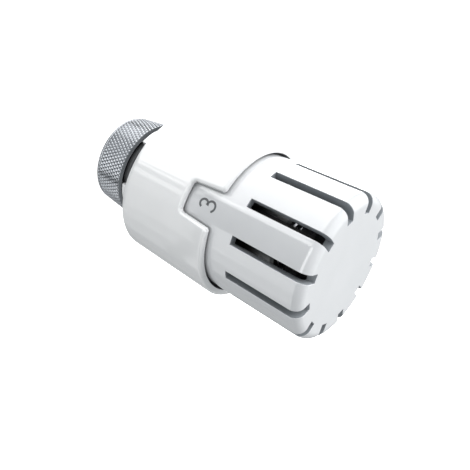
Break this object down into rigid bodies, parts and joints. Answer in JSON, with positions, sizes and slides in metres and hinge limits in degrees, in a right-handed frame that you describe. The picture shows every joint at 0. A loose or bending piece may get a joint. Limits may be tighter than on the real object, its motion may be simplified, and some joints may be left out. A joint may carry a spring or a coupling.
{
  "type": "thermostatic radiator valve head",
  "caption": "Round white radiator thermostat head: slotted handwheel with a number scale, fixed sleeve with a window, knurled union nut, sensor and push pin inside.",
  "frame": {"origin": "centre of the union nut's mouth, on the head's axis", "axes": "+Z along the head's axis from the nut to the handwheel's face; the number window faces -Y"},
  "size_m": [0.0546, 0.054, 0.0956],
  "materials": {
    "white_plastic": "glossy injection-moulded white",
    "dark_plastic": "matt glass-filled black",
    "grey_plastic": "satin grey",
    "natural_nylon": "satin natural",
    "nickel_plate": "satin nickel plating, diamond knurled",
    "steel": "plain",
    "aluminium_can": "drawn, plain",
    "brass_bellows": "plain"
  },
  "bodies": {
    "base": {"inner_frame": "dark_plastic", "valve_hub": "dark_plastic", "base_collar": "white_plastic", "sleeve_shell": "white_plastic", "nut_retaining_ring": "steel", "nut_slip_ring": "grey_plastic", "limit_pins": "grey_plastic", "pin_guide_bush": "natural_nylon", "handwheel_retaining_ring": "natural_nylon", "glide_ring": "natural_nylon"},
    "union_nut": {"union_nut": "nickel_plate"},
    "handwheel": {"handwheel": "white_plastic"},
    "carrier": {"sensor_carrier": "dark_plastic", "spring_cap": "dark_plastic", "overtravel_spring": "steel"},
    "sensor": {"sensor_can": "aluminium_can", "sensor_lid": "aluminium_can", "fill_plug": "brass_bellows", "spring_seat": "steel", "bellows": "brass_bellows"},
    "pin": {"thrust_pin": "natural_nylon", "bellows_pin": "steel", "bellows_end_plate": "brass_bellows", "return_spring": "steel"}
  },
  "joints": [
    {"name": "union_nut_spin", "type": "hinge", "parent": "base", "child": "union_nut", "pos_m": [0, 0, 0], "axis": [0, 0, 1], "continuous": true},
    {"name": "handwheel_turn", "type": "hinge", "parent": "base", "child": "handwheel", "pos_m": [0, 0, 0], "axis": [0, 0, 1], "range_deg": [-180, 120]},
    {"name": "carrier_travel", "type": "slide", "parent": "handwheel", "child": "carrier", "axis": [0, 0, 1], "range_m": [-0.00272, 0.00182]},
    {"name": "overtravel", "type": "slide", "parent": "carrier", "child": "sensor", "axis": [0, 0, 1], "range_m": [0, 0.0025], "stiffness_N_per_m": 2000, "springref_m": -0.0005, "deforming": ["overtravel_spring"]},
    {"name": "bellows_stroke", "type": "slide", "parent": "sensor", "child": "pin", "axis": [0, 0, -1], "range_m": [-0.0015, 0.0025], "stiffness_N_per_m": 1000, "deforming": ["bellows", "return_spring"]}
  ],
  "couplings": [
    {"joint": "carrier_travel", "follows": "handwheel_turn", "m_per_rad": 0.00085944}
  ]
}
